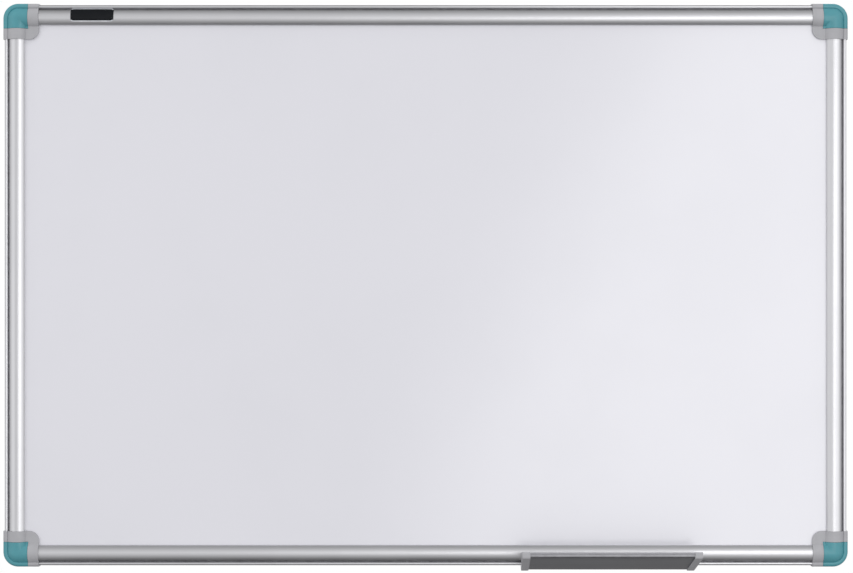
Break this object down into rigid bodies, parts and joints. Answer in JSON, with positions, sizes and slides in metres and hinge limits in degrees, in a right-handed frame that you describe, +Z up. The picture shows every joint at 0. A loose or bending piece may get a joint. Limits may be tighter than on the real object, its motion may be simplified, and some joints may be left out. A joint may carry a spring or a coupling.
{
  "type": "magnetic whiteboard",
  "caption": "Framed magnetic whiteboard for the wall: steel-faced panel, aluminium rails, moulded corners with pull-off screw covers, and a clip-on pen tray that slides.",
  "frame": {"origin": "on the wall plane, behind the middle of the board", "axes": "+X to the right of someone who faces the board, +Z up, and the writing face looks along -Y"},
  "size_m": [0.9, 0.0593, 0.6062],
  "materials": {
    "enamel_face": "gloss dry-wipe enamel on steel",
    "fibre_core": "pressed fibre board, raw edge",
    "back_sheet": "thin mill-finish sheet",
    "rail_aluminium": "satin silver anodised extrusion with fine lines along it",
    "tray_aluminium": "satin silver anodised extrusion",
    "corner_plastic": "light grey moulded plastic, fine spark texture",
    "cover_plastic": "grey-blue-green moulded plastic, satin",
    "screw_steel": "zinc-plated"
  },
  "bodies": {
    "frame": {"writing_sheet": "enamel_face", "core_board": "fibre_core", "backing_sheet": "back_sheet", "rail_top": "rail_aluminium", "rail_right": "rail_aluminium", "rail_bottom": "rail_aluminium", "rail_left": "rail_aluminium", "rail_screw_top_left": "screw_steel", "rail_screw_top_right": "screw_steel", "rail_screw_right_top": "screw_steel", "rail_screw_right_bottom": "screw_steel", "rail_screw_bottom_right": "screw_steel", "rail_screw_bottom_left": "screw_steel", "rail_screw_left_bottom": "screw_steel", "rail_screw_left_top": "screw_steel", "corner_top_right": "corner_plastic", "corner_bottom_right": "corner_plastic", "corner_bottom_left": "corner_plastic", "corner_top_left": "corner_plastic"},
    "tray": {"tray_profile": "tray_aluminium", "tray_cap_left": "corner_plastic", "tray_cap_right": "corner_plastic"},
    "cover_top_right": {"corner_cover_top_right": "cover_plastic"},
    "cover_bottom_right": {"corner_cover_bottom_right": "cover_plastic"},
    "cover_bottom_left": {"corner_cover_bottom_left": "cover_plastic"},
    "cover_top_left": {"corner_cover_top_left": "cover_plastic"}
  },
  "joints": [
    {"name": "tray_slide", "type": "slide", "parent": "frame", "child": "tray", "axis": [1, 0, 0], "range_m": [-0.507, 0.117]},
    {"name": "cover_pull_top_right", "type": "slide", "parent": "frame", "child": "cover_top_right", "axis": [0, -1, 0], "range_m": [0, 0.025]},
    {"name": "cover_pull_bottom_right", "type": "slide", "parent": "frame", "child": "cover_bottom_right", "axis": [0, -1, 0], "range_m": [0, 0.025]},
    {"name": "cover_pull_bottom_left", "type": "slide", "parent": "frame", "child": "cover_bottom_left", "axis": [0, -1, 0], "range_m": [0, 0.025]},
    {"name": "cover_pull_top_left", "type": "slide", "parent": "frame", "child": "cover_top_left", "axis": [0, -1, 0], "range_m": [0, 0.025]}
  ]
}
